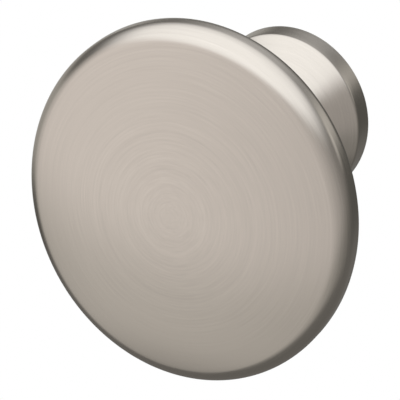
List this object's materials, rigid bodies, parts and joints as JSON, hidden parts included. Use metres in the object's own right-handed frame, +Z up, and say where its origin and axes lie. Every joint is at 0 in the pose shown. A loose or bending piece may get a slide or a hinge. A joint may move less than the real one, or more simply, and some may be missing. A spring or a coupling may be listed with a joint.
{
  "type": "cabinet knob",
  "caption": "Round mushroom cabinet knob with a crowned face, a rolled rim, a straight neck that spreads into a sloped foot, and a tapped hole in its back for a screw that comes through the door or drawer front.",
  "frame": {"origin": "centre of the flat back face that seats on the door or drawer front", "axes": "+Y along the knob's axis, out of the back face and into the door; the crowned face looks along -Y; +Z up as the knob is fitted"},
  "size_m": [0.032, 0.0278, 0.032],
  "materials": {
    "brushed_nickel": "satin nickel plating with fine concentric brush marks"
  },
  "bodies": {
    "root": {"knob": "brushed_nickel"}
  },
  "joints": []
}
